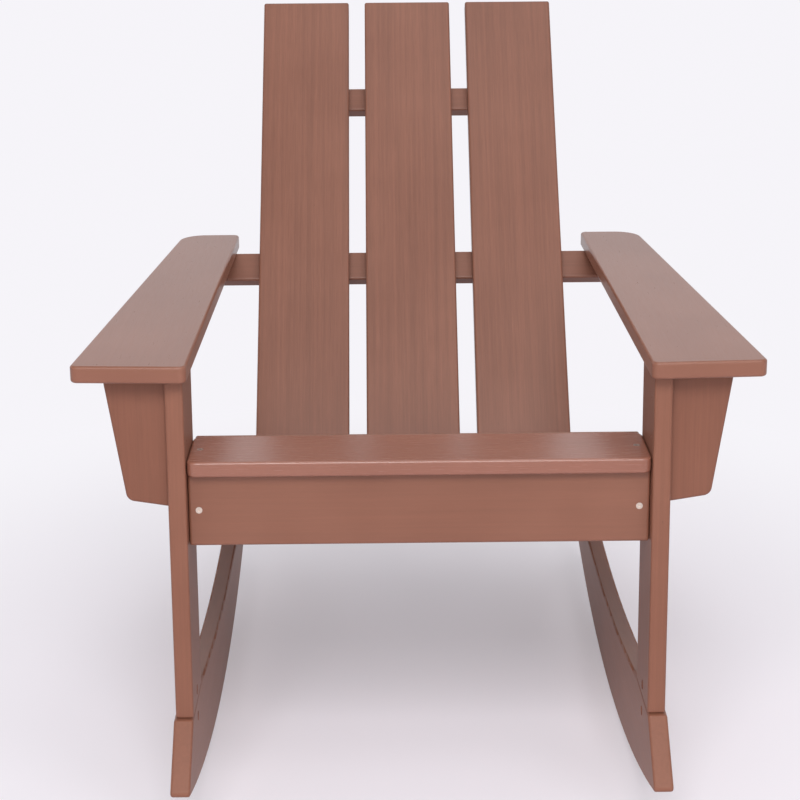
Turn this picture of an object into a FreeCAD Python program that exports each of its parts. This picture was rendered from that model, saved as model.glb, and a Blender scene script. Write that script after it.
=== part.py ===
import FreeCAD, Part
import os
import Sketcher

# Rocking adirondack chair, seen facing -Y, with +X on the right of a person who looks at its front.
# Every board is cut from the same solid stock and keeps its own node.
# Stations are measured along Y from the line where the rockers touch the floor, positive to the rear.
# The finished parts are moved by layout.middle, so that the origin lies under the middle of the chair.

# Driving sizes in millimetres and degrees: alias, value, what it is
SIZES = (
    ("board", 20, "thickness of the legs, stringers, apron, brackets, rails and back slats"),
    ("rocker_board", 22, "thickness of the rockers"),
    ("arm_board", 19, "thickness of the arms"),
    ("seat_board", 17.5, "thickness of the seat slats"),
    ("edge_round", 3, "rounding of the long edges"),
    ("inside_width", 508, "clear width between the legs"),
    ("end_gap", 0.5, "gap between a leg and the end of the apron or of a seat slat"),
    ("rocker_radius", 1455, "radius of the running edge"),
    ("rocker_front", 454, "reach of the rocker ahead of the floor contact"),
    ("rocker_rear", 422, "reach of the rocker behind the floor contact"),
    ("rocker_joint", 133.5, "height of the joint between rocker and leg"),
    ("rocker_top_radius", 2100, "radius of the hollow upper edge"),
    ("rocker_waist", 119, "station of the lowest point of the upper edge"),
    ("nose_ledge", 4, "rocker ahead of the leg at the joint"),
    ("nose_round", 5, "rounding of the rocker's nose"),
    ("tail_round", 12, "rounding of the rocker's and the stringer's tail"),
    ("leg_station", 385, "front of the leg at the joint, ahead of the contact"),
    ("leg_depth", 92, "depth of the leg board"),
    ("leg_lean", 3, "backward lean of the legs at rest"),
    ("arm_top", 543, "height of the arms"),
    ("arm_overhang", 20, "arm ahead of the leg"),
    ("arm_rear_lap", 13, "arm behind the rail that carries it"),
    ("arm_front_lap", 6, "arm inside of the leg's inner face, front"),
    ("arm_rear_inset", 15, "arm inside of the leg's inner face, rear"),
    ("arm_front_width", 125, "width of the arm at its front"),
    ("arm_rear_width", 78, "width of the arm at its rear"),
    ("arm_skew", 7, "outer front corner of the arm behind the inner one"),
    ("arm_corner", 8, "corner radius of the arm"),
    ("arm_rear_corner", 35, "outer rear corner radius of the arm"),
    ("bracket_setback", 12, "arm bracket behind the leg's front edge"),
    ("bracket_width", 68, "width of the bracket under the arm"),
    ("bracket_height", 147, "height of the bracket along the leg"),
    ("bracket_flare", 9, "slope of the bracket's outer edge"),
    ("bracket_corner", 10, "radius of the bracket's lower corner"),
    ("seat_height", 430, "top of the front seat slat"),
    ("seat_depth", 414, "front of the seat to the face of the back"),
    ("seat_slope", 20, "fall of the seat behind the front slat"),
    ("front_slat_depth", 92, "depth of the front seat slat"),
    ("front_slat_setback", 2, "front slat behind the leg's front edge"),
    ("front_slat_corner", 10, "plan corner radius of the front slat"),
    ("slat_gap", 10, "gap between seat slats"),
    ("slat_rear_gap", 18, "gap between the last seat slat and the back"),
    ("apron_height", 82, "height of the apron"),
    ("apron_setback", 15, "apron behind the leg's front edge"),
    ("stringer_front", 74, "height of the stringer behind the apron"),
    ("stringer_tail", 388, "station of the stringer's tail"),
    ("stringer_flat", 36, "length of the level cut under the stringer's tail"),
    ("stringer_clear", 8, "stringer's tail above the running edge"),
    ("back_height", 845.5, "height of the top of the back"),
    ("back_recline", 38.6, "recline of the back from upright"),
    ("back_slat_width", 123, "width of a back slat"),
    ("back_slat_gap", 23, "gap between back slats"),
    ("back_below_seat", 87, "length of the back slats below the seat surface"),
    ("upper_rail_drop", 133, "upper rail below the top of the back, along the slats"),
    ("upper_rail_height", 36, "height of the upper rail"),
    ("upper_rail_inset", 17, "upper rail's end inside the edge of the back"),
    ("arm_rail_height", 40, "height of the rail under the arms, front face"),
    ("arm_rail_reach", 46, "arm rail beyond the leg's inner face"),
    ("arm_seat_length", 50, "length of the level seat for an arm at each end of the arm rail"),
    ("lower_rail_height", 60, "height of the lower rail"),
    ("lower_rail_inset", 15, "lower rail above the slats' lower ends"),
    ("clearance", 0.1, "gap around a fastener in its hole"),
    ("screw_shank", 4.5, "diameter of a wood screw"),
    ("screw_head", 7.4, "diameter of a countersunk head"),
    ("screw_sink", 2.5, "depth of the countersunk head"),
    ("drive_size", 2.6, "diameter of the socket in a screw's head"),
    ("drive_depth", 1.5, "depth of the socket in a screw's head"),
    ("screw_bite", 16, "screw in the board behind the first"),
    ("screw_edge", 12, "screw from the board's edge"),
    ("slat_screw_edge", 24, "screw from the edge of a back slat"),
    ("arm_screw_cover", 14, "rail above the head of an arm screw"),
    ("arm_screw_bite", 14, "arm screw in the arm"),
    ("arm_screw_depth", 8, "arm screws behind the front edge of the arm rail"),
    ("bolt_shank", 6, "diameter of a bolt or stud"),
    ("bolt_head", 15, "diameter of a domed bolt head"),
    ("bolt_dome", 3.5, "height of a domed bolt head"),
    ("nut_flats", 10, "width of a nut across its flats"),
    ("nut_height", 6, "height of a nut"),
    ("washer_size", 15, "diameter of a washer"),
    ("washer_thickness", 1.5, "thickness of a washer"),
    ("bolt_end", 2, "bolt past its nut"),
    ("leg_bolt_depth", 62, "leg bolts behind the leg's front edge"),
    ("leg_bolt_inset", 24, "leg bolts from the stringer's upper and lower edge"),
    ("tail_bolt_inset", 17, "rocker bolts from the tail and from the rocker's upper edge"),
    ("tail_bolt_spacing", 30, "spacing of the rocker bolts"),
    ("barrel_size", 11.5, "diameter of a barrel nut"),
    ("barrel_length", 14, "length of a barrel nut"),
    ("barrel_recess", 2, "barrel nut below the board's face"),
    ("barrel_below", 19, "barrel nut below the joint, in the rocker"),
    ("barrel_above", 14, "barrel nut above the joint, in the leg"),
    ("stud_end", 8, "stud past the middle of each barrel nut"),
    ("dowel_size", 10, "diameter of a dowel"),
    ("dowel_length", 36, "length of a dowel"),
    ("dowel_inset", 17, "dowels from the leg's front and rear edge"),
    ("plate_thickness", 2.5, "thickness of the steel angle plates"),
    ("plate_width", 14, "width of the steel angle plates"),
    ("plate_reach", 48, "length of each wing of an angle plate"),
    ("plate_screw_length", 14, "length of a plate screw"),
    ("plate_screw_shank", 4, "diameter of a plate screw"),
    ("plate_screw_head", 7.5, "head diameter of a plate screw"),
    ("plate_screw_dome", 2, "head height of a plate screw"),
)
SEAT_SLATS_BEHIND = 4
# Places of paired screws, as shares of the length that they share
LOWER_RAIL_SHARES = (0.25, 0.75)
BRACKET_SHARES = (0.2, 0.5)
PLATE_SHARES = (0.45, 0.8)
ARM_SHARES = (0.3, 0.7)
# Length by which a hole runs past the face where it starts, and the tolerance for finding an edge
OVERCUT = "1"
NEAR = 0.01
SIDES = (("left", -1), ("right", 1))
X_AXIS = FreeCAD.Vector(1, 0, 0)
Y_AXIS = FreeCAD.Vector(0, 1, 0)

# Derived lengths: alias, expression
LAYOUT = (
    ("inner_face", "sizes.inside_width / 2"),
    ("outer_face", "layout.inner_face + sizes.board"),
    ("lean_tan", "tan(sizes.leg_lean)"),
    ("lean_cos", "cos(sizes.leg_lean)"),
    ("lean_sin", "sin(sizes.leg_lean)"),
    ("slope_tan", "tan(sizes.seat_slope)"),
    ("slope_cos", "cos(sizes.seat_slope)"),
    ("slope_sin", "sin(sizes.seat_slope)"),
    ("back_tan", "tan(sizes.back_recline)"),
    ("back_cos", "cos(sizes.back_recline)"),
    ("back_sin", "sin(sizes.back_recline)"),
    ("tip_height", "sizes.rocker_radius - sqrt(sizes.rocker_radius ^ 2 - sizes.rocker_front ^ 2)"),
    ("tail_height", "sizes.rocker_radius - sqrt(sizes.rocker_radius ^ 2 - sizes.rocker_rear ^ 2)"),
    ("leg_rear", "sizes.leg_depth / layout.lean_cos - sizes.leg_station"),
    ("top_centre", "sizes.rocker_joint"
                   " + sqrt(sizes.rocker_top_radius ^ 2 - (layout.leg_rear - sizes.rocker_waist) ^ 2)"),
    ("tail_top", "layout.top_centre"
                 " - sqrt(sizes.rocker_top_radius ^ 2 - (sizes.rocker_rear - sizes.rocker_waist) ^ 2)"),
    ("arm_under", "sizes.arm_top - sizes.arm_board"),
    ("leg_top_front", "(layout.arm_under - sizes.rocker_joint) * layout.lean_tan - sizes.leg_station"),
    ("leg_top_rear", "layout.leg_top_front + sizes.leg_depth / layout.lean_cos"),
    ("slat_front", "(sizes.seat_height - sizes.rocker_joint) * layout.lean_tan - sizes.leg_station"
                   " + sizes.front_slat_setback"),
    ("seat_break", "layout.slat_front + sizes.front_slat_depth"),
    ("stringer_top", "sizes.seat_height - sizes.seat_board"),
    ("apron_top_front", "(layout.stringer_top - sizes.rocker_joint) * layout.lean_tan - sizes.leg_station"
                        " + sizes.apron_setback / layout.lean_cos"),
    ("apron_top_rear", "layout.apron_top_front + sizes.board / layout.lean_cos"),
    ("stringer_low", "layout.stringer_top - sizes.stringer_front"),
    ("stringer_tail_top", "layout.stringer_top - (sizes.stringer_tail - layout.seat_break) * layout.slope_tan"),
    ("stringer_tail_low", "sizes.rocker_radius - sqrt(sizes.rocker_radius ^ 2 - sizes.stringer_tail ^ 2)"
                          " + sizes.stringer_clear"),
    ("seat_rear", "layout.slat_front + sizes.seat_depth"),
    ("seat_rear_height", "layout.stringer_top - (layout.seat_rear - layout.seat_break) * layout.slope_tan"
                         " + sizes.seat_board / layout.slope_cos"),
    ("slat_run", "(layout.seat_rear - sizes.slat_rear_gap - layout.seat_break"
                 " - sizes.seat_board * layout.slope_sin) / layout.slope_cos"),
    ("slat_depth", f"layout.slat_run / {SEAT_SLATS_BEHIND} - sizes.slat_gap"),
    ("back_top", "layout.seat_rear + (sizes.back_height - layout.seat_rear_height) * layout.back_tan"),
    ("back_length", "(sizes.back_height - layout.seat_rear_height) / layout.back_cos + sizes.back_below_seat"),
    ("back_rear", "layout.back_top + sizes.board * layout.back_cos"),
    ("back_half", "1.5 * sizes.back_slat_width + sizes.back_slat_gap"),
    ("arm_rail_drop", "(sizes.back_height - sizes.board * layout.back_sin - layout.arm_under)"
                      " / layout.back_cos"),
    ("arm_rail_front", "layout.back_rear - layout.arm_rail_drop * layout.back_sin"),
    ("arm_rail_rear", "layout.arm_rail_front + sizes.board / layout.back_cos"),
    ("lower_rail_low", "layout.back_length - sizes.lower_rail_inset"),
    ("arm_front", "layout.leg_top_front - sizes.arm_overhang"),
    ("arm_rear", "layout.arm_rail_rear + sizes.arm_rear_lap"),
    ("back_trim", "sizes.edge_round * (layout.back_sin + layout.back_cos - 1)"),
    ("nose_top", "sizes.leg_station + sizes.nose_ledge"),
    ("nose_angle", "atan2(sizes.rocker_joint - layout.tip_height; sizes.rocker_front - layout.nose_top)"
                   " / 1 deg"),
    ("arc_angle", "asin(sizes.rocker_front / sizes.rocker_radius) / 1 deg"),
    ("nose_reach", "cos((layout.nose_angle - layout.arc_angle) / 2)"
                   " / sin((layout.nose_angle + layout.arc_angle) / 2)"),
    ("nose_trim", "sizes.nose_round * (layout.nose_reach - 1)"),
    ("middle", "(layout.back_rear - layout.back_trim - sizes.rocker_front + layout.nose_trim) / 2"),
    ("bracket_foot", "(sizes.bracket_width * cos(sizes.bracket_flare)"
                     " - sizes.bracket_height * sin(sizes.bracket_flare)) / cos(2 * sizes.bracket_flare)"),
    ("screw_length", "sizes.board + sizes.screw_bite"),
    ("bolt_grip", "sizes.board + sizes.rocker_board"),
    ("bolt_length", "layout.bolt_grip + sizes.washer_thickness + sizes.nut_height + sizes.bolt_end"),
    ("stud_length", "sizes.barrel_below + sizes.barrel_above + 2 * sizes.stud_end"),
)

doc = FreeCAD.newDocument("rocking_adirondack_chair")
sheet = doc.addObject("Spreadsheet::Sheet", "sizes")
layout = doc.addObject("App::VarSet", "layout")
nodes = []


def fill_sheet():
    for row, (alias, number, meaning) in enumerate(SIZES, 1):
        sheet.set(f"A{row}", meaning)
        sheet.set(f"B{row}", str(number))
        sheet.setAlias(f"B{row}", alias)
    doc.recompute()
    for alias, expression in LAYOUT:
        layout.addProperty("App::PropertyFloat", alias)
        layout.setExpression(alias, expression)
        doc.recompute()


def value(expression):
    result = layout.evalExpression(expression)
    return float(getattr(result, "Value", result))


def place(item, base, axis=X_AXIS, angle="0"):
    """Bind the place and the turn of an object; stations along Y are moved to the chair's middle."""
    item.Placement = FreeCAD.Placement(FreeCAD.Vector(0, 0, 0), FreeCAD.Rotation(axis, 0))
    item.setExpression("Placement.Rotation.Angle", f"({angle}) * 1 deg")
    item.setExpression("Placement.Base.x", base[0])
    item.setExpression("Placement.Base.y", f"{base[1]} - layout.middle")
    item.setExpression("Placement.Base.z", base[2])


def origin_plane(body, role):
    return [item for item in body.Origin.OriginFeatures if item.Role == role][0]


def arc_through(start, end, radius):
    """Arc from start to end that bulges to the right of the way there, or to the left if radius < 0."""
    chord = end - start
    right = FreeCAD.Vector(chord.y, -chord.x, 0).normalize()
    size = abs(radius)
    rise = size - (size ** 2 - (chord.Length / 2) ** 2) ** 0.5
    crown = (start + end) * 0.5 + right * (rise if radius > 0 else -rise)
    return Part.Arc(start, crown, end)


def outline(body, name, plane, points):
    """Closed sketch; a point is (x, y) or (x, y, radius of the arc to the next point), as expressions."""
    sketch = body.newObject("Sketcher::SketchObject", name)
    sketch.AttachmentSupport = [(origin_plane(body, plane), "")]
    sketch.MapMode = "FlatFace"
    spots = [FreeCAD.Vector(value(point[0]), value(point[1]), 0) for point in points]
    starts, ends = [], []
    for index, point in enumerate(points):
        here = spots[index]
        there = spots[(index + 1) % len(spots)]
        if len(point) == 2:
            sketch.addGeometry(Part.LineSegment(here, there), False)
            starts.append(1)
            ends.append(2)
            continue
        sketch.addGeometry(arc_through(here, there, value(point[2])), False)
        forward = sketch.getPoint(index, 1).distanceToPoint(here) < 0.001
        starts.append(1 if forward else 2)
        ends.append(2 if forward else 1)
        size = abs(value(point[2]))
        number = sketch.addConstraint(Sketcher.Constraint("Radius", index, size))
        sketch.setExpression(f"Constraints[{number}]", f"abs({point[2]})")
    for index, point in enumerate(points):
        after = (index + 1) % len(points)
        sketch.addConstraint(Sketcher.Constraint("Coincident", index, ends[index], after, starts[after]))
        for kind, axis in (("DistanceX", 0), ("DistanceY", 1)):
            rule = Sketcher.Constraint(kind, -1, 1, index, starts[index], spots[index][axis])
            number = sketch.addConstraint(rule)
            sketch.setExpression(f"Constraints[{number}]", point[axis])
    return sketch


def rounded(body, base, name, radius, wanted):
    """Fillet the edges of the base feature that pass the test."""
    doc.recompute()
    names = [f"Edge{number}" for number, edge in enumerate(base.Shape.Edges, 1) if wanted(edge)]
    fillet = body.newObject("PartDesign::Fillet", name)
    fillet.Base = (base, names)
    fillet.setExpression("Radius", radius)
    doc.recompute()
    return fillet


def prism(name, plane, points, length):
    body = doc.addObject("PartDesign::Body", f"{name}_board")
    pad = body.newObject("PartDesign::Pad", f"{name}_pad")
    pad.Profile = outline(body, f"{name}_outline", plane, points)
    pad.setExpression("Length", length)
    return body, pad


def rectangle(low_x, low_y, high_x, high_y):
    return ((low_x, low_y), (high_x, low_y), (high_x, high_y), (low_x, high_y))


def every_edge(edge):
    return True


def span(edge, axis):
    """Lowest and highest place of an edge along one axis."""
    box = edge.BoundBox
    return ((box.XMin, box.XMax), (box.YMin, box.YMax), (box.ZMin, box.ZMax))[axis]


def level_at(edge, height):
    low, high = span(edge, 2)
    return abs(low - height) < NEAR and abs(high - height) < NEAR


def upright_near(x, y):
    """Test for the upright edge at a corner of a plan outline."""
    def test(edge):
        low, high = span(edge, 2)
        point = edge.Vertexes[0].Point
        return high - low > 1 and abs(point.x - x) < 0.1 and abs(point.y - y) < 0.1
    return test


def flat_edge(edge):
    low, high = span(edge, 2)
    return high - low < NEAR


def finish(node, blank, tools=()):
    """Register a node: the blank itself, or the blank less the holes of its fasteners."""
    if not tools:
        blank.Label = node
        nodes.append(blank)
        return blank
    tool = tools[0]
    if len(tools) > 1:
        tool = doc.addObject("Part::MultiFuse", f"{node}_holes")
        tool.Shapes = list(tools)
    cut = doc.addObject("Part::Cut", f"{node}_drilled")
    cut.Base = blank
    cut.Tool = tool
    cut.Label = node
    nodes.append(cut)
    return cut


def group(node, pieces):
    compound = doc.addObject("Part::Compound", f"{node}_group")
    compound.Links = list(pieces)
    compound.Label = node
    nodes.append(compound)


def turned(name, profile):
    """Solid of revolution about Z from a closed profile of (radius, height) points."""
    body = doc.addObject("PartDesign::Body", name)
    turn = body.newObject("PartDesign::Revolution", f"{name}_turn")
    turn.Profile = outline(body, f"{name}_profile", "XZ_Plane", profile)
    turn.ReferenceAxis = (turn.Profile[0], ["V_Axis"])
    turn.Angle = 360
    doc.recompute()
    return body


def screw_profile(length, head, sink, shank, spare):
    """Countersunk screw with a socket in its head, or the plain hole for it where there is a spare gap."""
    head_edge = f"{head} / 2 + {spare}"
    neck = f"{shank} / 2 + {spare}"
    tip = f"-({length}) - {spare}"
    outside = (("0", tip), (neck, tip), (neck, f"-{sink}"), (head_edge, "0"))
    if spare != "0":
        return outside + (("0", "0"),)
    socket = "sizes.drive_size / 2"
    return outside + ((socket, "0"), (socket, "-sizes.drive_depth"), ("0", "-sizes.drive_depth"))


def domed_profile(length, head, dome, shank, spare):
    neck = f"{shank} / 2 + {spare}"
    tip = f"-({length}) - {spare}"
    return (("0", tip), (neck, tip), (neck, "0"), (f"{head} / 2", "0"), (f"{head} / 2", f"{dome} / 3"),
            (f"{head} / 4", dome), ("0", dome))


def bore_profile(radius, low, high):
    return (("0", low), (radius, low), (radius, high), ("0", high))


def hexagon(flats):
    corner = f"{flats} / sqrt(3)"
    flat = f"{flats} / 2"
    half = f"{flats} / sqrt(3) / 2"
    return ((corner, "0"), (half, flat), (f"-{half}", flat), (f"-{corner}", "0"),
            (f"-{half}", f"-{flat}"), (half, f"-{flat}"))


def nut_master():
    """Hexagon nut on its washer, pulled up from below a bolt's grip at z = 0, pointing down."""
    body, pad = prism("nut", "XY_Plane", hexagon("sizes.nut_flats"), "sizes.nut_height")
    pad.Reversed = True
    place(body, ("0", "layout.middle", "-sizes.washer_thickness"))
    washer = doc.addObject("Part::Cylinder", "washer")
    washer.setExpression("Radius", "sizes.washer_size / 2")
    washer.setExpression("Height", "sizes.washer_thickness")
    place(washer, ("0", "layout.middle", "-sizes.washer_thickness"))
    hole = doc.addObject("Part::Cylinder", "nut_hole")
    hole.setExpression("Radius", "sizes.bolt_shank / 2 + sizes.clearance")
    hole.setExpression("Height", "3 * sizes.nut_height")
    place(hole, ("0", "layout.middle", "-2 * sizes.nut_height - sizes.washer_thickness"))
    parts = []
    for name, blank in (("nut_bored", body), ("washer_bored", washer)):
        cut = doc.addObject("Part::Cut", name)
        cut.Base = blank
        cut.Tool = hole
        parts.append(cut)
    pair = doc.addObject("Part::Compound", "nut_and_washer")
    pair.Links = parts
    return pair


def masters():
    """One solid of each kind of fastener, and the hole that it needs, at the origin, pointing down."""
    made = {}
    spare = "sizes.clearance"
    head = ("sizes.screw_head", "sizes.screw_sink", "sizes.screw_shank")
    arm_length = "sizes.arm_screw_cover + sizes.arm_screw_bite"
    made["screw"] = turned("screw", screw_profile("layout.screw_length", *head, "0"))
    made["screw_hole"] = turned("screw_hole", screw_profile("layout.screw_length", *head, spare))
    made["arm_screw"] = turned("arm_screw", screw_profile(arm_length, *head, "0"))
    made["arm_screw_hole"] = turned("arm_screw_hole", screw_profile(arm_length, *head, spare))
    pocket_radius = f"sizes.screw_head / 2 + {spare}"
    made["arm_screw_pocket"] = turned("arm_screw_pocket", bore_profile(pocket_radius, "0", "2 * sizes.board"))
    plate = ("sizes.plate_screw_head", "sizes.plate_screw_dome", "sizes.plate_screw_shank")
    made["plate_screw"] = turned("plate_screw", domed_profile("sizes.plate_screw_length", *plate, "0"))
    plate_bore = f"sizes.plate_screw_shank / 2 + {spare}"
    plate_end = f"-sizes.plate_screw_length - {spare}"
    made["plate_screw_hole"] = turned("plate_screw_hole", bore_profile(plate_bore, plate_end, OVERCUT))
    bolt = ("sizes.bolt_head", "sizes.bolt_dome", "sizes.bolt_shank")
    made["bolt"] = turned("bolt", domed_profile("layout.bolt_length", *bolt, "0"))
    bolt_bore = f"sizes.bolt_shank / 2 + {spare}"
    made["bolt_hole"] = turned("bolt_hole", bore_profile(bolt_bore, f"-layout.bolt_grip - {OVERCUT}", OVERCUT))
    made["stud"] = turned("stud", bore_profile("sizes.bolt_shank / 2", "0", "layout.stud_length"))
    stud_bore = bore_profile(bolt_bore, f"-{spare}", f"layout.stud_length + {spare}")
    made["stud_hole"] = turned("stud_hole", stud_bore)
    made["barrel_hole"] = turned("barrel_hole", bore_profile(
        f"sizes.barrel_size / 2 + {spare}", f"-sizes.barrel_recess - sizes.barrel_length - {spare}", OVERCUT))
    made["barrel"] = turned("barrel", bore_profile(
        "sizes.barrel_size / 2", "-sizes.barrel_recess - sizes.barrel_length", "-sizes.barrel_recess"))
    made["dowel"] = turned("dowel", bore_profile("sizes.dowel_size / 2", "0", "sizes.dowel_length"))
    made["dowel_hole"] = turned("dowel_hole", bore_profile(
        f"sizes.dowel_size / 2 + {spare}", f"-{spare}", f"sizes.dowel_length + {spare}"))
    made["nut"] = nut_master()
    return made


def copy_of(kind, base, axis=X_AXIS, angle="0"):
    link = doc.addObject("App::Link", f"{kind}_copy")
    link.LinkedObject = master[kind]
    link.LinkTransform = False
    place(link, base, axis, angle)
    return link


def fasteners(kind, spots):
    """Links to a fastener and to its hole at every spot: (base, axis, angle)."""
    solids = [copy_of(kind, *spot) for spot in spots]
    holes = [copy_of(f"{kind}_hole", *spot) for spot in spots]
    return solids, holes


def mirrored(side, expression):
    """Expression on the right side, or its negative on the left side."""
    return expression if side > 0 else f"-({expression})"


def inward(side):
    """Turn about Y that points a fastener from the outside of a side towards the chair's middle."""
    return str(90 * side)


def leg_line(height, depth):
    """Station at a height, so far behind the front edge of the leaning leg."""
    front = f"({height} - sizes.rocker_joint) * layout.lean_tan - sizes.leg_station"
    return f"{front} + ({depth}) / layout.lean_cos"


def back_point(depth, drop):
    """Station and height of a point so deep behind the face of the back and so far below its top."""
    station = f"layout.back_top + ({depth}) * layout.back_cos - ({drop}) * layout.back_sin"
    height = f"sizes.back_height - ({depth}) * layout.back_sin - ({drop}) * layout.back_cos"
    return station, height


def seat_point(along, up):
    """Station and height of a point along the sloping seat and above the stringers."""
    station = f"layout.seat_break + ({along}) * layout.slope_cos + ({up}) * layout.slope_sin"
    height = f"layout.stringer_top - ({along}) * layout.slope_sin + ({up}) * layout.slope_cos"
    return station, height


def rocker_blank(name, side):
    points = (
        ("-sizes.rocker_front", "layout.tip_height", "sizes.rocker_radius"),
        ("sizes.rocker_rear", "layout.tail_height"),
        ("sizes.rocker_rear", "layout.tail_top", "-sizes.rocker_top_radius"),
        ("layout.leg_rear", "sizes.rocker_joint"),
        ("-layout.nose_top", "sizes.rocker_joint"),
    )
    body, pad = prism(name, "YZ_Plane", points, "sizes.rocker_board")
    doc.recompute()
    tip = value("sizes.rocker_front")
    ledge = value("layout.nose_top")
    tail = value("sizes.rocker_rear")

    def at_tip(edge):
        return max(abs(station + tip) for station in span(edge, 1)) < NEAR

    def at_tail(edge):
        across = span(edge, 0)
        return max(abs(station - tail) for station in span(edge, 1)) < NEAR and across[1] - across[0] > 1

    def at_ledge(edge):
        return max(abs(station + ledge) for station in span(edge, 1)) < NEAR

    def long_edge(edge):
        across = span(edge, 0)
        return across[1] - across[0] < NEAR

    nose = rounded(body, pad, f"{name}_nose", "sizes.nose_round", at_tip)
    brow = rounded(body, nose, f"{name}_brow", "sizes.edge_round", at_ledge)
    tail_end = rounded(body, brow, f"{name}_tail", "sizes.tail_round", at_tail)
    rounded(body, tail_end, f"{name}_edges", "sizes.edge_round", long_edge)
    place(body, ("layout.inner_face" if side > 0 else "-layout.inner_face - sizes.rocker_board", "0", "0"))
    return body


def leg_blank(name, side):
    points = (
        ("-sizes.leg_station", "sizes.rocker_joint"),
        ("layout.leg_rear", "sizes.rocker_joint"),
        ("layout.leg_top_rear", "layout.arm_under"),
        ("layout.leg_top_front", "layout.arm_under"),
    )
    body, pad = prism(name, "YZ_Plane", points, "sizes.board")
    rounded(body, pad, f"{name}_edges", "sizes.edge_round", every_edge)
    place(body, ("layout.inner_face" if side > 0 else "-layout.outer_face", "0", "0"))
    return body


def stringer_blank(name, side):
    tail = "sizes.stringer_tail"
    points = (
        (leg_line("layout.stringer_low", "sizes.apron_setback + sizes.board"), "layout.stringer_low"),
        (f"{tail} - sizes.stringer_flat", "layout.stringer_tail_low"),
        (tail, "layout.stringer_tail_low"),
        (tail, "layout.stringer_tail_top"),
        ("layout.seat_break", "layout.stringer_top"),
        ("layout.apron_top_rear", "layout.stringer_top"),
    )
    body, pad = prism(name, "YZ_Plane", points, "sizes.board")
    doc.recompute()
    end = value(tail)

    def tail_corner(edge):
        across = span(edge, 0)
        return across[1] - across[0] > 1 and abs(edge.Vertexes[0].Point.y - end) < NEAR

    tail_end = rounded(body, pad, f"{name}_tail", "sizes.tail_round", tail_corner)

    def long_edge(edge):
        across = span(edge, 0)
        return across[1] - across[0] < NEAR and edge.Length > value("sizes.stringer_front") + 1

    rounded(body, tail_end, f"{name}_edges", "sizes.edge_round", long_edge)
    place(body, ("layout.inner_face - sizes.board" if side > 0 else "-layout.inner_face", "0", "0"))
    return body


def apron_blank():
    half = "(layout.inner_face - sizes.end_gap)"
    section = rectangle("0", "-sizes.apron_height", "sizes.board", "0")
    body, pad = prism("front_apron", "YZ_Plane", section, f"2 * {half}")
    rounded(body, pad, "front_apron_edges", "sizes.edge_round", every_edge)
    place(body, (f"-{half}", "layout.apron_top_front", "layout.stringer_top"), angle="-sizes.leg_lean")
    return body


def front_slat_blank():
    half = "(layout.inner_face - sizes.end_gap)"
    points = rectangle(f"-{half}", "0", half, "sizes.front_slat_depth")
    body, pad = prism("seat_slat_front", "XY_Plane", points, "sizes.seat_board")

    def upright(edge):
        return not flat_edge(edge)

    corners = rounded(body, pad, "seat_slat_front_corners", "sizes.front_slat_corner", upright)
    rounded(body, corners, "seat_slat_front_edges", "sizes.edge_round", flat_edge)
    place(body, ("0", "layout.slat_front", "layout.stringer_top"))
    return body


def seat_slat_start(number):
    """Distance of a sloping seat slat from the end of the level seat."""
    return f"{number} * layout.slat_depth + {number + 1} * sizes.slat_gap"


def seat_slat_blank(name, number):
    half = "(layout.inner_face - sizes.end_gap)"
    points = rectangle(f"-{half}", "0", half, "layout.slat_depth")
    body, pad = prism(name, "XY_Plane", points, "sizes.seat_board")
    rounded(body, pad, f"{name}_edges", "sizes.edge_round", every_edge)
    place(body, ("0", *seat_point(seat_slat_start(number), "0")), angle="-sizes.seat_slope")
    return body


def back_slat_blank(name, offset):
    middle = f"{offset} * (sizes.back_slat_width + sizes.back_slat_gap)"
    half = "sizes.back_slat_width / 2"
    points = rectangle(f"{middle} - {half}", "0", f"{middle} + {half}", "sizes.board")
    body, pad = prism(name, "XY_Plane", points, "layout.back_length")
    rounded(body, pad, f"{name}_edges", "sizes.edge_round", every_edge)
    place(body, ("0", *back_point("0", "layout.back_length")), angle="-sizes.back_recline")
    return body


def rail_blank(name, half, section, drop, edges):
    """Rail behind the back slats; its section is drawn from the point below the top of the back."""
    body, pad = prism(name, "YZ_Plane", section, f"2 * ({half})")
    rounded(body, pad, f"{name}_edges", "sizes.edge_round", edges)
    place(body, (f"-({half})", *back_point("sizes.board", drop)), angle="-sizes.back_recline")
    return body


def arm_rail_blank():
    """Rail with a level seat under each arm, and a square upper edge between the arms."""
    reach = "layout.inner_face + sizes.arm_rail_reach"
    peak = "sizes.board * layout.back_tan"
    section = (("0", "-sizes.arm_rail_height"), ("sizes.board", "-sizes.arm_rail_height"),
               ("sizes.board", peak), ("0", "0"))
    low = -value("sizes.arm_rail_height")
    body = rail_blank("arm_back_rail", reach, section, "layout.arm_rail_drop", lambda edge: level_at(edge, low))
    pocket = body.newObject("PartDesign::Pocket", "arm_back_rail_middle")
    start = "sizes.arm_seat_length"
    stop = f"2 * ({reach}) - {start}"
    corners = ((start, "0"), (stop, "0"), (stop, f"2 * {peak}"), (start, f"2 * {peak}"))
    pocket.Profile = outline(body, "arm_back_rail_middle_outline", "XZ_Plane", corners)
    pocket.Type = "ThroughAll"
    pocket.Midplane = True
    doc.recompute()
    return body


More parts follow.
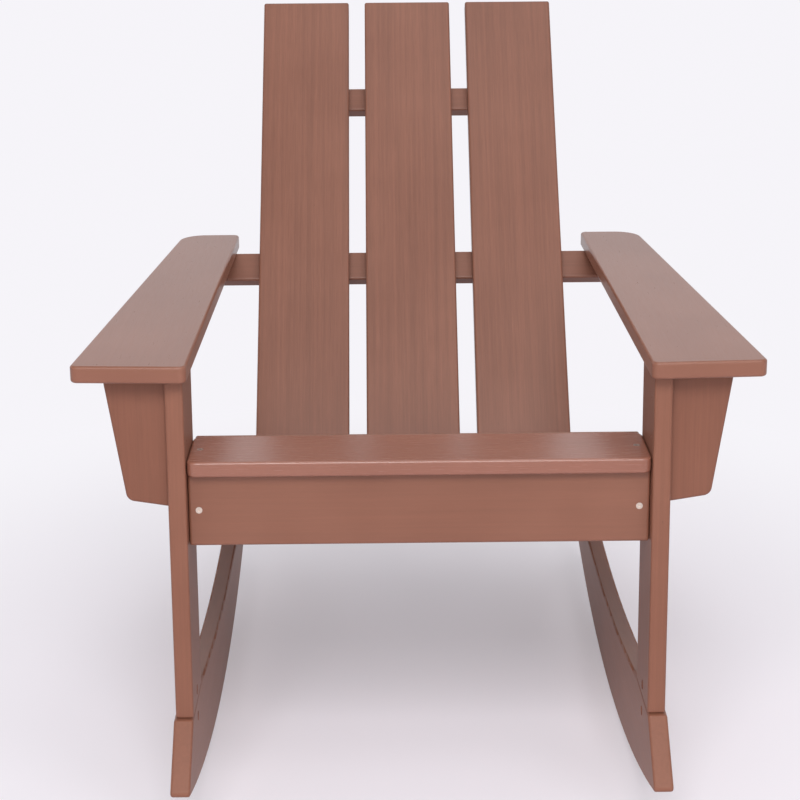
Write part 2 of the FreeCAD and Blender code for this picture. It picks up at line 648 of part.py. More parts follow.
def arm_blank(name, side):
    inner_front = "layout.inner_face - sizes.arm_front_lap"
    inner_rear = "layout.inner_face - sizes.arm_rear_inset"
    points = (
        (mirrored(side, inner_front), "layout.arm_front"),
        (mirrored(side, f"{inner_front} + sizes.arm_front_width"), "layout.arm_front + sizes.arm_skew"),
        (mirrored(side, f"{inner_rear} + sizes.arm_rear_width"), "layout.arm_rear"),
        (mirrored(side, inner_rear), "layout.arm_rear"),
    )
    body, pad = prism(name, "XY_Plane", points, "sizes.arm_board")
    doc.recompute()
    corners = [(value(x), value(y)) for x, y in points]

    def small_corner(edge):
        return any(upright_near(*corners[index])(edge) for index in (0, 1, 3))

    front = rounded(body, pad, f"{name}_corners", "sizes.arm_corner", small_corner)
    rear = rounded(body, front, f"{name}_rear_corner", "sizes.arm_rear_corner", upright_near(*corners[2]))
    rounded(body, rear, f"{name}_edges", "sizes.edge_round", flat_edge)
    place(body, ("0", "0", "layout.arm_under"))
    return body


def bracket_blank(name, side):
    foot_x = "layout.bracket_foot * cos(sizes.bracket_flare)"
    foot_z = "layout.bracket_foot * sin(sizes.bracket_flare) - sizes.bracket_height"
    points = (
        ("0", "0"),
        (mirrored(side, "sizes.bracket_width"), "0"),
        (mirrored(side, foot_x), foot_z),
        ("0", "-sizes.bracket_height"),
    )
    body, pad = prism(name, "XZ_Plane", points, "sizes.board")
    doc.recompute()
    corner = value(points[2][0])

    def foot_corner(edge):
        low, high = span(edge, 0)
        return abs(low - corner) < NEAR and abs(high - corner) < NEAR

    foot = rounded(body, pad, f"{name}_corner", "sizes.bracket_corner", foot_corner)

    def free_edge(edge):
        depth = span(edge, 1)
        across = span(edge, 0)
        outside = max(abs(across[0]), abs(across[1])) > NEAR
        return depth[1] - depth[0] < NEAR and outside and not level_at(edge, 0)

    rounded(body, foot, f"{name}_edges", "sizes.edge_round", free_edge)
    depth = "sizes.bracket_setback + sizes.board"
    station = f"layout.leg_top_front + ({depth}) * layout.lean_cos"
    height = "layout.arm_under - sizes.board * layout.lean_sin"
    place(body, (mirrored(side, "layout.outer_face"), station, height), angle="-sizes.leg_lean")
    return body


def angle_plate_blank(name, side):
    reach = "sizes.plate_reach"
    thick = "sizes.plate_thickness"
    rear = "layout.leg_top_rear"
    points = (
        (rear, "layout.arm_under"),
        (f"{rear} - {reach} * layout.lean_tan", f"layout.arm_under - {reach}"),
        (f"{rear} - {reach} * layout.lean_tan + {thick}", f"layout.arm_under - {reach}"),
        (f"{rear} + {thick} - {thick} * layout.lean_tan", f"layout.arm_under - {thick}"),
        (f"{rear} + {reach}", f"layout.arm_under - {thick}"),
        (f"{rear} + {reach}", "layout.arm_under"),
    )
    body, pad = prism(name, "YZ_Plane", points, "sizes.plate_width")
    middle = mirrored(side, "(layout.inner_face + layout.outer_face) / 2")
    place(body, (f"{middle} - sizes.plate_width / 2", "0", "0"))
    return body


def screws_in_slats(drop):
    """Spots of the screws from behind a rail into the three back slats, two in each."""
    spots = []
    for offset in (-1, 0, 1):
        for hand in (-1, 1):
            middle = f"{offset} * (sizes.back_slat_width + sizes.back_slat_gap)"
            x = f"{middle} + {hand} * (sizes.back_slat_width / 2 - sizes.slat_screw_edge)"
            base = (x, *back_point("2 * sizes.board", drop))
            spots.append((base, X_AXIS, "-90 - sizes.back_recline"))
    return spots


fill_sheet()
master = masters()

# Fasteners come first, because the boards take their holes from them.
slat_screw_spots, apron_screw_spots = {}, []
hand_x = {side: mirrored(side, "layout.inner_face - sizes.screw_edge") for _, side in SIDES}
apron_drop = "sizes.apron_height / 2"
for _, side in SIDES:
    apron_station = f"layout.apron_top_front - ({apron_drop}) * layout.lean_sin"
    apron_height = f"layout.stringer_top - ({apron_drop}) * layout.lean_cos"
    apron_screw_spots.append(((hand_x[side], apron_station, apron_height), X_AXIS, "90 - sizes.leg_lean"))
apron_screws, apron_holes = fasteners("screw", apron_screw_spots)
group("apron_screws", apron_screws)

front_spots = [((hand_x[side], "layout.slat_front + sizes.front_slat_depth / 2", "sizes.seat_height"),
                X_AXIS, "0") for _, side in SIDES]
seat_screws, slat_holes = [], {}
front_screws, slat_holes["front"] = fasteners("screw", front_spots)
seat_screws.extend(front_screws)
for number in range(SEAT_SLATS_BEHIND):
    along = f"{seat_slat_start(number)} + layout.slat_depth / 2"
    spot = seat_point(along, "sizes.seat_board")
    spots = [((hand_x[side], *spot), X_AXIS, "-sizes.seat_slope") for _, side in SIDES]
    solids, slat_holes[number] = fasteners("screw", spots)
    seat_screws.extend(solids)
group("seat_screws", seat_screws)

upper_drop = "sizes.upper_rail_drop + sizes.upper_rail_height / 2"
upper_screws, upper_holes = fasteners("screw", screws_in_slats(upper_drop))
group("upper_rail_screws", upper_screws)
arm_rail_drop = "layout.arm_rail_drop + sizes.arm_rail_height / 2"
arm_rail_screws, arm_rail_holes = fasteners("screw", screws_in_slats(arm_rail_drop))
group("arm_rail_slat_screws", arm_rail_screws)
lower_drop = "layout.lower_rail_low - sizes.lower_rail_height / 2"
lower_screws, lower_holes = fasteners("screw", screws_in_slats(lower_drop))
group("lower_rail_slat_screws", lower_screws)

end_holes, end_screws = {}, []
bracket_holes, bracket_screws = {}, []
leg_bolt_holes, leg_bolts, leg_nuts = {}, [], []
tail_bolt_holes, tail_bolts, tail_nuts = {}, [], []
stud_holes, studs, barrel_holes, barrels = {}, [], {}, []
dowel_holes, dowels = {}, []
plate_holes, plate_screws = {}, []
arm_screw_holes, arm_screws, arm_pockets = {}, [], {}
for hand, side in SIDES:
    inner = mirrored(side, "layout.inner_face")
    outer = mirrored(side, "layout.outer_face")
    stringer_face = mirrored(side, "layout.inner_face - sizes.board")
    board_middle = mirrored(side, "(layout.inner_face + layout.outer_face) / 2")

    spots = []
    for share in LOWER_RAIL_SHARES:
        up = f"{share} * sizes.lower_rail_height"
        base = (inner, *back_point("1.5 * sizes.board", f"layout.lower_rail_low - {up}"))
        spots.append((base, Y_AXIS, inward(side)))
    solids, end_holes[side] = fasteners("screw", spots)
    end_screws.extend(solids)

    spots = []
    for share in BRACKET_SHARES:
        drop = f"{share} * sizes.bracket_height + sizes.board * layout.lean_sin"
        depth = "sizes.bracket_setback + sizes.board / 2"
        station = f"layout.leg_top_front + ({depth}) * layout.lean_cos - ({drop}) * layout.lean_sin"
        height = f"layout.arm_under - ({depth}) * layout.lean_sin - ({drop}) * layout.lean_cos"
        spots.append(((inner, station, height), Y_AXIS, inward(-side)))
    solids, bracket_holes[side] = fasteners("screw", spots)
    bracket_screws.extend(solids)

    heights = ("layout.stringer_top - sizes.leg_bolt_inset", "layout.stringer_low + sizes.leg_bolt_inset")
    places = [(leg_line(height, "sizes.leg_bolt_depth"), height) for height in heights]
    spots = [((outer, *spot), Y_AXIS, inward(side)) for spot in places]
    solids, leg_bolt_holes[side] = fasteners("bolt", spots)
    leg_bolts.extend(solids)
    leg_nuts.extend(copy_of("nut", (stringer_face, *spot), Y_AXIS, inward(side)) for spot in places)

    places = []
    for step in ("0", "sizes.tail_bolt_spacing"):
        station = f"sizes.stringer_tail - sizes.tail_bolt_inset - {step}"
        drop = f"sqrt(sizes.rocker_top_radius ^ 2 - ({station} - sizes.rocker_waist) ^ 2)"
        places.append((station, f"layout.top_centre - {drop} - sizes.tail_bolt_inset"))
    rocker_face = mirrored(side, "layout.inner_face + sizes.rocker_board")
    spots = [((rocker_face, *spot), Y_AXIS, inward(side)) for spot in places]
    solids, tail_bolt_holes[side] = fasteners("bolt", spots)
    tail_bolts.extend(solids)
    tail_nuts.extend(copy_of("nut", (stringer_face, *spot), Y_AXIS, inward(side)) for spot in places)

    centre = "sizes.leg_depth / 2 / layout.lean_cos - sizes.leg_station"
    stud_low = "sizes.rocker_joint - sizes.barrel_below - sizes.stud_end"
    solids, stud_holes[side] = fasteners("stud", [((board_middle, centre, stud_low),)])
    studs.extend(solids)
    heights = ("sizes.rocker_joint - sizes.barrel_below", "sizes.rocker_joint + sizes.barrel_above")
    spots = [((inner, centre, height), Y_AXIS, inward(-side)) for height in heights]
    solids, barrel_holes[side] = fasteners("barrel", spots)
    for solid, hole in ((solid, stud_holes[side][0]) for solid in solids):
        bored = doc.addObject("Part::Cut", "barrel_nut")
        bored.Base = solid
        bored.Tool = hole
        barrels.append(bored)

    low = "sizes.rocker_joint - sizes.dowel_length / 2"
    stations = ("sizes.dowel_inset - sizes.leg_station", "layout.leg_rear - sizes.dowel_inset")
    solids, dowel_holes[side] = fasteners("dowel", [((board_middle, station, low),) for station in stations])
    dowels.extend(solids)

    outer_wing = "sizes.plate_reach"
    thick = "sizes.plate_thickness"
    up_spots, leg_spots = [], []
    for share in PLATE_SHARES:
        arm_station = f"layout.leg_top_rear + {share} * {outer_wing}"
        up_spots.append(((board_middle, arm_station, f"layout.arm_under - {thick}"), X_AXIS, "180"))
        height = f"layout.arm_under - {share} * {outer_wing}"
        station = f"{leg_line(height, 'sizes.leg_depth')} + {thick}"
        leg_spots.append(((board_middle, station, height), X_AXIS, "-90 - sizes.leg_lean"))
    up_solids, up_holes = fasteners("plate_screw", up_spots)
    leg_solids, leg_holes = fasteners("plate_screw", leg_spots)
    plate_screws.extend(up_solids + leg_solids)
    plate_holes[side] = (up_holes, leg_holes)

    station = "layout.arm_rail_front + sizes.arm_screw_depth"
    height = "layout.arm_under - sizes.arm_screw_cover"
    inner_rear = "layout.inner_face - sizes.arm_rear_inset"
    spots = []
    for share in ARM_SHARES:
        x = mirrored(side, f"{inner_rear} + {share} * sizes.arm_rear_width")
        spots.append(((x, station, height), X_AXIS, "180"))
    solids, arm_screw_holes[side] = fasteners("arm_screw", spots)
    arm_screws.extend(solids)
    arm_pockets[side] = [copy_of("arm_screw_pocket", *spot) for spot in spots]

group("lower_rail_end_screws", end_screws)
group("bracket_screws", bracket_screws)
group("leg_bolts", leg_bolts)
group("leg_bolt_nuts", leg_nuts)
group("rocker_bolts", tail_bolts)
group("rocker_bolt_nuts", tail_nuts)
group("rocker_studs", studs)
group("barrel_nuts", barrels)
group("leg_dowels", dowels)
group("arm_plate_screws", plate_screws)
group("arm_screws", arm_screws)

# Boards of each side
for index, (hand, side) in enumerate(SIDES):
    joint_holes = stud_holes[side] + dowel_holes[side]
    rocker = rocker_blank(f"{hand}_rocker", side)
    finish(f"{hand}_rocker", rocker, joint_holes + [barrel_holes[side][0]] + tail_bolt_holes[side])
    leg = leg_blank(f"{hand}_leg", side)
    leg_tools = joint_holes + [barrel_holes[side][1]] + leg_bolt_holes[side] + bracket_holes[side]
    finish(f"{hand}_leg", leg, leg_tools + plate_holes[side][1])
    ends = [apron_holes[index], slat_holes["front"][index]]
    ends += [slat_holes[number][index] for number in range(SEAT_SLATS_BEHIND)]
    stringer = stringer_blank(f"{hand}_stringer", side)
    finish(f"{hand}_stringer", stringer, ends + leg_bolt_holes[side] + tail_bolt_holes[side] + end_holes[side])
    arm = arm_blank(f"{hand}_arm", side)
    finish(f"{hand}_arm", arm, arm_screw_holes[side] + plate_holes[side][0])
    finish(f"{hand}_arm_bracket", bracket_blank(f"{hand}_arm_bracket", side), bracket_holes[side])
    plate = angle_plate_blank(f"{hand}_arm_plate", side)
    finish(f"{hand}_arm_plate", plate, plate_holes[side][0] + plate_holes[side][1])

# Boards across the chair
finish("front_apron", apron_blank(), apron_holes)
finish("seat_slat_front", front_slat_blank(), slat_holes["front"])
for number in range(SEAT_SLATS_BEHIND):
    name = f"seat_slat_{number + 2}"
    finish(name, seat_slat_blank(name, number), slat_holes[number])
for index, (hand, offset) in enumerate((("left", -1), ("middle", 0), ("right", 1))):
    name = f"back_slat_{hand}"
    pair = slice(2 * index, 2 * index + 2)
    finish(name, back_slat_blank(name, offset), upper_holes[pair] + arm_rail_holes[pair] + lower_holes[pair])

upper = rail_blank("upper_back_rail", "layout.back_half - sizes.upper_rail_inset",
                   rectangle("0", "-sizes.upper_rail_height", "sizes.board", "0"),
                   "sizes.upper_rail_drop", every_edge)
finish("upper_back_rail", upper, upper_holes)
arm_rail = arm_rail_blank()
side_tools = [tool for _, side in SIDES for tool in arm_screw_holes[side] + arm_pockets[side]]
finish("arm_back_rail", arm_rail, arm_rail_holes + side_tools)
lower = rail_blank("lower_back_rail", "layout.inner_face - sizes.board",
                   rectangle("0", "0", "sizes.board", "sizes.lower_rail_height"),
                   "layout.lower_rail_low", lambda edge: edge.Length > value("sizes.inside_width") / 2)
finish("lower_back_rail", lower, lower_holes + end_holes[-1] + end_holes[1])

doc.recompute()
faults = [item.Name for item in doc.Objects if "Invalid" in item.State or "Error" in item.State]
for node in nodes:
    if node.Shape.isNull() or not node.Shape.isValid() or not node.Shape.Solids:
        faults.append(node.Label)
if faults:
    raise RuntimeError(f"these objects failed: {faults}")
os.makedirs("parts", exist_ok=True)
for node in nodes:
    node.Shape.exportStep(f"parts/{node.Label}.step")
print(len(nodes), "nodes written; floor contact at y", round(-value("layout.middle"), 2))
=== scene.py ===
import math

import bpy
from mathutils import Matrix, Vector


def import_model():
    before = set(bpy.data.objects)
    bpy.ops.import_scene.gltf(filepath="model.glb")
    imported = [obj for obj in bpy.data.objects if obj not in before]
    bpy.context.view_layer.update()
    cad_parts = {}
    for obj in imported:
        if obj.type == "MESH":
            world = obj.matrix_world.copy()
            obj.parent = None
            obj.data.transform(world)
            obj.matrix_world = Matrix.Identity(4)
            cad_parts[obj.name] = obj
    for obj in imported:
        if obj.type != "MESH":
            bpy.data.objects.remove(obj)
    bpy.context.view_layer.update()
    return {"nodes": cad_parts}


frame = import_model()
scene = bpy.context.scene

# Camera: the frame's width, the focal length and the row of the optical axis in pixels, the place in metres,
# and the turns in degrees
FRAME = 800
FOCAL = 1862.5
AXIS_ROW = 353.0
SENSOR_WIDTH = 36
CAMERA_AT = Vector((-0.0348, -2.2972, 1.0953))
PITCH = 15.87
YAW = 0.44
ROLL = -0.43

camera_data = bpy.data.cameras.new("camera")
camera = bpy.data.objects.new("camera", camera_data)
scene.collection.objects.link(camera)
pitch, yaw, roll = math.radians(PITCH), math.radians(YAW), math.radians(ROLL)
forward = Vector((math.sin(yaw) * math.cos(pitch), math.cos(yaw) * math.cos(pitch), -math.sin(pitch)))
level_right = Vector((math.cos(yaw), -math.sin(yaw), 0))
level_up = level_right.cross(forward)
right = math.cos(roll) * level_right + math.sin(roll) * level_up
up = math.cos(roll) * level_up - math.sin(roll) * level_right
turn = Matrix((right, up, -forward)).transposed()
camera.matrix_world = Matrix.Translation(CAMERA_AT) @ turn.to_4x4()
camera_data.sensor_width = SENSOR_WIDTH
camera_data.lens = SENSOR_WIDTH * FOCAL / FRAME
camera_data.shift_y = (AXIS_ROW - FRAME / 2) / FRAME
scene.camera = camera


class Nodes:
    """Short ways to add and join shader nodes."""

    # The colour sockets of a mix node
    FIRST_COLOUR = 6
    SECOND_COLOUR = 7
    MIXED_COLOUR = 2

    def __init__(self, name):
        self.material = bpy.data.materials.new(name)
        self.material.use_nodes = True
        self.tree = self.material.node_tree
        self.tree.nodes.clear()

    def add(self, kind, **settings):
        node = self.tree.nodes.new(kind)
        for key, setting in settings.items():
            setattr(node, key, setting)
        return node

    def join(self, source, target):
        self.tree.links.new(source, target)

    def feed(self, node, name, source):
        socket = node.inputs[name]
        if isinstance(source, bpy.types.NodeSocket):
            self.join(source, socket)
        else:
            socket.default_value = source

    def math(self, operation, first, second=0.0, third=None):
        node = self.add("ShaderNodeMath", operation=operation)
        self.feed(node, 0, first)
        self.feed(node, 1, second)
        if third is not None:
            self.feed(node, 2, third)
        return node.outputs[0]

    def noise(self, vector, scale, detail=2.0, rough=0.5):
        node = self.add("ShaderNodeTexNoise")
        self.feed(node, "Vector", vector)
        self.feed(node, "Scale", scale)
        self.feed(node, "Detail", detail)
        self.feed(node, "Roughness", rough)
        return node.outputs["Fac"]

    def ramp(self, factor, *stops):
        node = self.add("ShaderNodeValToRGB")
        ramp = node.color_ramp
        while len(ramp.elements) < len(stops):
            ramp.elements.new(0.5)
        for element, (place, colour) in zip(ramp.elements, stops):
            element.position = place
            element.color = colour
        self.feed(node, "Fac", factor)
        return node.outputs["Color"]

    def mix(self, factor, first, second, blend="MIX"):
        node = self.add("ShaderNodeMix", data_type="RGBA", blend_type=blend)
        self.feed(node, 0, factor)
        self.feed(node, self.FIRST_COLOUR, first)
        self.feed(node, self.SECOND_COLOUR, second)
        return node.outputs[self.MIXED_COLOUR]

    def surface(self, tone, rough, **settings):
        """Principled shader with a colour and a roughness, joined to the output."""
        shader = self.add("ShaderNodeBsdfPrincipled")
        self.feed(shader, "Base Color", tone)
        self.feed(shader, "Roughness", rough)
        for name, setting in settings.items():
            self.feed(shader, name.replace("_", " "), setting)
        out = self.add("ShaderNodeOutputMaterial")
        self.join(shader.outputs[0], out.inputs["Surface"])
        return self.material


def grey(level):
    return (level, level, level, 1)


def scaled(colour, factor):
    return tuple(channel * factor for channel in colour) + (1,)


# Linear colour of the boards
BROWN = (0.242, 0.096, 0.059)

# Marks along a board: how far each is drawn out, its scale, its detail and its roughness
GRAIN = (0.03, 1100.0, 3.0, 0.6)
STREAK = (0.012, 240.0, 4.0, 0.65)
BAND = (0.05, 22.0, 2.0, 0.5)
CLOUD = (1.0, 7.0, 2.0, 0.5)
PITS = (0.35, 46.0)

# How much each mark changes the tone
STREAK_TONE = 0.55
GRAIN_TONE = 0.35
BAND_TONE = 0.28
PIT_TONE = 0.72
PIT_REACH = 0.035

# The two tones that the clouds blend, as a tint and a level
CLOUD_DARK = ((1.0, 1.0, 1.0), 0.96)
CLOUD_LIGHT = ((1.03, 1.06, 1.08), 1.03)

# Height and strength of the relief, and what grain and sawn ends add to the roughness
STREAK_RELIEF = 0.6
RELIEF_STRENGTH = 0.22
RELIEF_HEIGHT = 0.0005
GRAIN_ROUGH = 0.12
END_ROUGH = 0.12

# A sawn end fades in from where a face leans 0.6 along the board, and is full a third of a unit later
END_GAIN = 3.0
END_START = -1.8

# Step between the places from which two boards take their marks
SEED_STEP = (0.37, 0.61, 0.53)


def lumber(name, axis, lean, tint, contrast, rough, shine, seed):
    """Poly lumber with fine lengthwise streaks.

    axis is the row axis along the board and lean its turn about X in degrees; tint shades the brown with
    painted light and shade per board, contrast is the strength of the streaks, rough the least roughness of
    a face, and shine its gloss.
    """
    kit = Nodes(name)
    coordinates = kit.add("ShaderNodeTexCoord")
    turned = kit.add("ShaderNodeMapping", vector_type="POINT")
    kit.join(coordinates.outputs["Object"], turned.inputs["Vector"])
    turned.inputs["Rotation"].default_value = (math.radians(lean), 0, 0)
    turned.inputs["Location"].default_value = [seed * step for step in SEED_STEP]
    place = turned.outputs[0]

    def stretched(along):
        node = kit.add("ShaderNodeMapping")
        kit.join(place, node.inputs["Vector"])
        scale = [1.0, 1.0, 1.0]
        scale[axis] = along
        node.inputs["Scale"].default_value = scale
        return node.outputs[0]

    def mark(along, *noise):
        return kit.noise(stretched(along), *noise)

    grain = mark(*GRAIN)
    streak = mark(*STREAK)
    band = mark(*BAND)
    cloud = mark(*CLOUD)

    # How squarely a face looks along the board: sawn ends are plain and a little rougher
    facing = kit.add("ShaderNodeVectorRotate", rotation_type="X_AXIS")
    kit.join(coordinates.outputs["Normal"], facing.inputs["Vector"])
    facing.inputs["Angle"].default_value = math.radians(lean)
    parts = kit.add("ShaderNodeSeparateXYZ")
    kit.join(facing.outputs[0], parts.inputs[0])
    along = kit.math("ABSOLUTE", parts.outputs[axis])
    end = kit.math("MULTIPLY_ADD", along, END_GAIN, END_START)
    end = kit.math("MINIMUM", kit.math("MAXIMUM", end, 0.0), 1.0)
    side = kit.math("SUBTRACT", 1.0, end)

    def swing(source, amount):
        """Noise around its middle, turned into a factor around 1 that fades on sawn ends."""
        centred = kit.math("SUBTRACT", source, 0.5)
        faded = kit.math("MULTIPLY", centred, side)
        return kit.math("MULTIPLY_ADD", faded, amount, 1.0)

    def tinted(colour, level):
        return scaled([base * own * part for base, own, part in zip(BROWN, tint, colour)], level)

    shade = kit.math("MULTIPLY", swing(streak, STREAK_TONE * contrast), swing(grain, GRAIN_TONE * contrast))
    shade = kit.math("MULTIPLY", shade, swing(band, BAND_TONE * contrast))
    blend = kit.ramp(cloud, (0.35, grey(0)), (0.65, grey(1)))
    base = kit.mix(blend, tinted(*CLOUD_DARK), tinted(*CLOUD_LIGHT))
    lit = kit.add("ShaderNodeVectorMath", operation="SCALE")
    kit.join(base, lit.inputs[0])
    kit.join(shade, lit.inputs["Scale"])
    tone = lit.outputs[0]

    speck = kit.add("ShaderNodeTexVoronoi")
    pits_along, pits_scale = PITS
    kit.join(stretched(pits_along), speck.inputs["Vector"])
    speck.inputs["Scale"].default_value = pits_scale
    pits = kit.ramp(speck.outputs["Distance"], (0.0, grey(PIT_TONE)), (PIT_REACH, grey(1)))
    tone = kit.mix(1.0, tone, pits, "MULTIPLY")

    height = kit.math("MULTIPLY_ADD", streak, STREAK_RELIEF, grain)
    bump = kit.add("ShaderNodeBump")
    bump.inputs["Strength"].default_value = RELIEF_STRENGTH * contrast
    bump.inputs["Distance"].default_value = RELIEF_HEIGHT
    kit.join(height, bump.inputs["Height"])
    rough = kit.math("MULTIPLY_ADD", grain, GRAIN_ROUGH, rough)
    rough = kit.math("MULTIPLY_ADD", end, END_ROUGH, rough)
    return kit.surface(tone, rough, Normal=bump.outputs[0], Specular_IOR_Level=shine)


# Metal and plastic: detail and roughness of the mottle, and what it adds to the shader's roughness
MOTTLE = (3.0, 0.6)
MOTTLE_ROUGH = 0.2


def mottled(name, scale, dark, light, rough, metallic=0.0):
    """A fine mottle between two tones; rough is the least roughness."""
    kit = Nodes(name)
    place = kit.add("ShaderNodeTexCoord").outputs["Object"]
    mottle = kit.noise(place, scale, *MOTTLE)
    tone = kit.ramp(mottle, (0.3, dark), (0.7, light))
    rough = kit.math("MULTIPLY_ADD", mottle, MOTTLE_ROUGH, rough)
    return kit.surface(tone, rough, Metallic=metallic)


# Axis along each board, the board's turn about X in degrees, its tint of painted light and shade, its
# streaks' strength, its least roughness and its gloss
X, Y, Z = 0, 1, 2
PLAIN = (1.0, 1.0, 1.0)
# Painted shade: a darker copy of the brown for the arm brackets under the arms, the stringers under the
# seat, and the reclined back slats and rails
PAINTED_SHADE_DEEP = (0.86, 0.86, 0.87)
# Painted shade: a slightly darker copy of the brown for the legs and front apron, which face the front lamps
PAINTED_SHADE_SLIGHT = (0.93, 0.93, 0.92)
# Painted light and sheen: a lighter, bluer copy of the brown for the front seat slat's lit top
PAINTED_LIGHT_SHEEN = (1.13, 1.12, 1.2)
BOARDS = {
    "rocker": (Y, 0, PLAIN, 0.6, 0.40, 0.32), "leg": (Z, 3, PAINTED_SHADE_SLIGHT, 0.5, 0.40, 0.32),
    "stringer": (Y, 20, PAINTED_SHADE_DEEP, 0.6, 0.4, 0.3), "front_apron": (X, 3, PAINTED_SHADE_SLIGHT, 0.35, 0.34, 0.4),
    "seat_slat_front": (X, 0, PAINTED_LIGHT_SHEEN, 0.32, 0.2, 0.6), "seat_slat": (X, 20, PLAIN, 0.6, 0.26, 0.5),
    "back_slat": (Z, 38.6, PAINTED_SHADE_DEEP, 1.0, 0.32, 0.4), "upper_back_rail": (X, 38.6, PAINTED_SHADE_DEEP, 0.6, 0.36, 0.4),
    "arm_back_rail": (X, 38.6, PAINTED_SHADE_DEEP, 0.6, 0.36, 0.4), "lower_back_rail": (X, 38.6, PAINTED_SHADE_DEEP, 0.6, 0.36, 0.4),
    "arm_bracket": (Z, 3, PAINTED_SHADE_DEEP, 0.6, 0.38, 0.25), "arm": (Y, 0, PLAIN, 0.28, 0.24, 0.45),
}
METAL = ("screws", "bolts", "nuts", "studs", "plate")
STEEL = mottled("stainless_steel", 600.0, (0.60, 0.49, 0.43, 1), (0.80, 0.67, 0.59, 1), 0.25, metallic=1.0)

# Nodes with a finish of their own: the screws in the colour of the boards, and the dark dowels
OTHER = {
    "bracket_screws": mottled("brown_steel", 500.0, scaled(BROWN, 0.8), scaled(BROWN, 1.05), 0.35),
    "leg_dowels": mottled("dowel_plastic", 300.0, grey(0.012), grey(0.02), 0.45),
}


def board_facts(name):
    """Facts of the longest board kind in a node's name."""
    kinds = []
    for kind in BOARDS:
        if name == kind or name.endswith("_" + kind) or name.startswith(kind + "_"):
            kinds.append(kind)
    return BOARDS[max(kinds, key=len)]


def dress(node, material):
    node.data.materials.clear()
    node.data.materials.append(material)


for seed, (name, node) in enumerate(sorted(frame["nodes"].items())):
    if name in OTHER:
        dress(node, OTHER[name])
    elif name.endswith(METAL):
        dress(node, STEEL)
    else:
        dress(node, lumber(name + "_lumber", *board_facts(name), seed))


def stage_plane(name, reach, material):
    """Square on the ground that reaches so far each way, kept out of the part."""
    corners = [(-reach, -reach, 0), (reach, -reach, 0), (reach, reach, 0), (-reach, reach, 0)]
    mesh = bpy.data.meshes.new(name)
    mesh.from_pydata(corners, [], [(0, 1, 2, 3)])
    plane = bpy.data.objects.new(name, mesh)
    scene.collection.objects.link(plane)
    mesh.materials.append(material)


def background_ray(tree):
    """1 for the rays that show the background: the camera's, and those that metal or glass sends on."""
    path = tree.nodes.new("ShaderNodeLightPath")
    seen = path.outputs["Is Camera Ray"]
    for kind in ("Is Glossy Ray", "Is Transmission Ray"):
        either = tree.nodes.new("ShaderNodeMath")
        either.operation = "MAXIMUM"
        tree.links.new(seen, either.inputs[0])
        tree.links.new(path.outputs[kind], either.inputs[1])
        seen = either.outputs[0]
    return seen


# Floor: its reach, its own white, the white that shows whatever the light is, and the share of that white,
# which rises from GLOW_SHARE to 1 between two distances from the middle
FLOOR_REACH = 30
FLOOR_WHITE = (0.97, 0.90, 0.97, 1)
FLOOR_GLOW = (0.92, 0.905, 0.945, 1)
GLOW_SHARE = 0.3
NEAR_FLOOR = 0.15
FAR_FLOOR = 1.2


def floor_material():
    kit = Nodes("floor")
    plain = kit.add("ShaderNodeBsdfDiffuse")
    plain.inputs["Color"].default_value = FLOOR_WHITE
    glow = kit.add("ShaderNodeEmission")
    glow.inputs["Color"].default_value = FLOOR_GLOW
    reach = kit.add("ShaderNodeVectorMath", operation="LENGTH")
    kit.join(kit.add("ShaderNodeTexCoord").outputs["Object"], reach.inputs[0])
    share = kit.add("ShaderNodeMapRange", interpolation_type="SMOOTHSTEP")
    share.inputs["From Min"].default_value = NEAR_FLOOR
    share.inputs["From Max"].default_value = FAR_FLOOR
    share.inputs["To Min"].default_value = GLOW_SHARE
    share.inputs["To Max"].default_value = 1.0
    kit.join(reach.outputs["Value"], share.inputs["Value"])
    share = kit.math("MULTIPLY", background_ray(kit.tree), share.outputs["Result"])
    mix = kit.add("ShaderNodeMixShader")
    kit.join(share, mix.inputs[0])
    kit.join(plain.outputs[0], mix.inputs[1])
    kit.join(glow.outputs[0], mix.inputs[2])
    out = kit.add("ShaderNodeOutputMaterial")
    kit.join(mix.outputs[0], out.inputs["Surface"])
    return kit.material


stage_plane("floor", FLOOR_REACH, floor_material())

# World: its light's strength, and its tones from where the first ends to where the second starts, by height
WORLD_LIGHT = 0.6
HORIZON = (0.38, (0.98, 0.97, 1.0, 1))
OVERHEAD = (0.8, (0.26, 0.26, 0.28, 1))


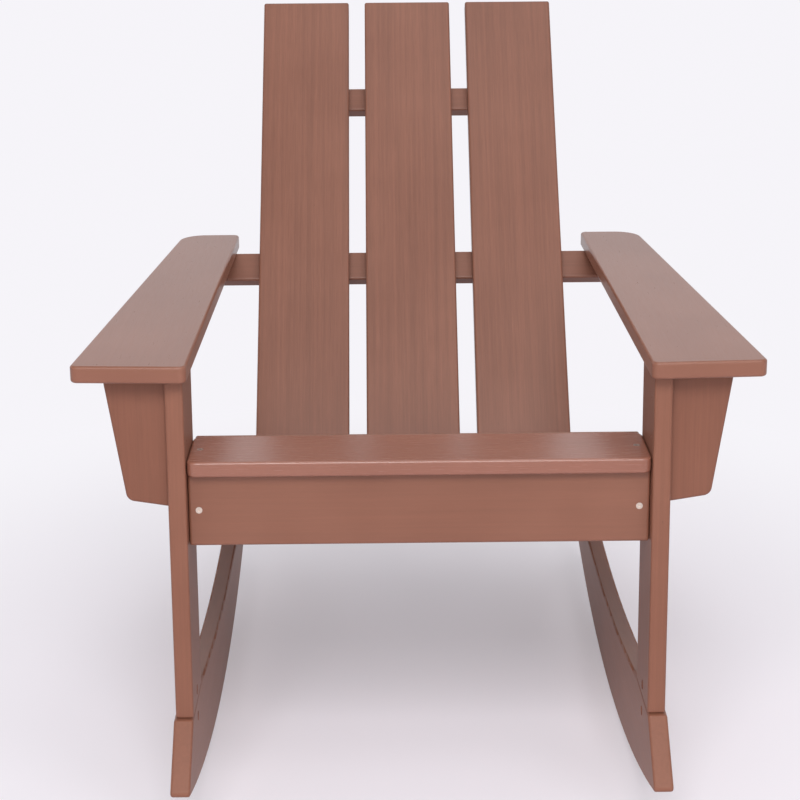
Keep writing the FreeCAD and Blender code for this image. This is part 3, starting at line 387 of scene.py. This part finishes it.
def world():
    """White round the horizon and darker overhead, so that rounded edges catch the lamps."""
    background = bpy.data.worlds.new("studio")
    scene.world = background
    background.use_nodes = True
    tree = background.node_tree
    tree.nodes.clear()
    direction = tree.nodes.new("ShaderNodeTexCoord").outputs["Generated"]
    parts = tree.nodes.new("ShaderNodeSeparateXYZ")
    tree.links.new(direction, parts.inputs[0])
    sky = tree.nodes.new("ShaderNodeValToRGB")
    tree.links.new(parts.outputs[2], sky.inputs[0])
    low, high = sky.color_ramp.elements
    low.position, low.color = HORIZON
    high.position, high.color = OVERHEAD
    light = tree.nodes.new("ShaderNodeBackground")
    light.inputs["Strength"].default_value = WORLD_LIGHT
    white = tree.nodes.new("ShaderNodeBackground")
    white.inputs["Strength"].default_value = 1.0
    mix = tree.nodes.new("ShaderNodeMixShader")
    tree.links.new(sky.outputs[0], light.inputs["Color"])
    tree.links.new(sky.outputs[0], white.inputs["Color"])
    tree.links.new(background_ray(tree), mix.inputs[0])
    tree.links.new(light.outputs[0], mix.inputs[1])
    tree.links.new(white.outputs[0], mix.inputs[2])
    out = tree.nodes.new("ShaderNodeOutputWorld")
    tree.links.new(mix.outputs[0], out.inputs["Surface"])


def area_lamp(name, place, target, size, power):
    data = bpy.data.lights.new(name, "AREA")
    data.shape = "RECTANGLE"
    data.size, data.size_y = size
    data.energy = power
    lamp = bpy.data.objects.new(name, data)
    scene.collection.objects.link(lamp)
    lamp.visible_camera = False
    lamp.location = place
    lamp.rotation_euler = (Vector(target) - Vector(place)).to_track_quat("-Z", "Y").to_euler()


world()

# Lamps: place, the point each looks at, width and height in metres, and power in watts
LAMPS = {
    "key_light": ((-0.2, -2.7, 2.65), (0, 0, 0.4), (1.8, 1.2), 68),
    "front_light": ((0.3, -3.9, 1.6), (0, 0, 0.45), (1.8, 1.2), 24),
    "top_light": ((0.2, 0.2, 3.0), (0, 0.1, 0.4), (1.8, 1.4), 15),
    "side_light": ((1.0, -1.3, 2.6), (0.2, -0.3, 0.5), (0.7, 0.7), 8),
}
for name, facts in LAMPS.items():
    area_lamp(name, *facts)

scene.view_settings.view_transform = "Standard"
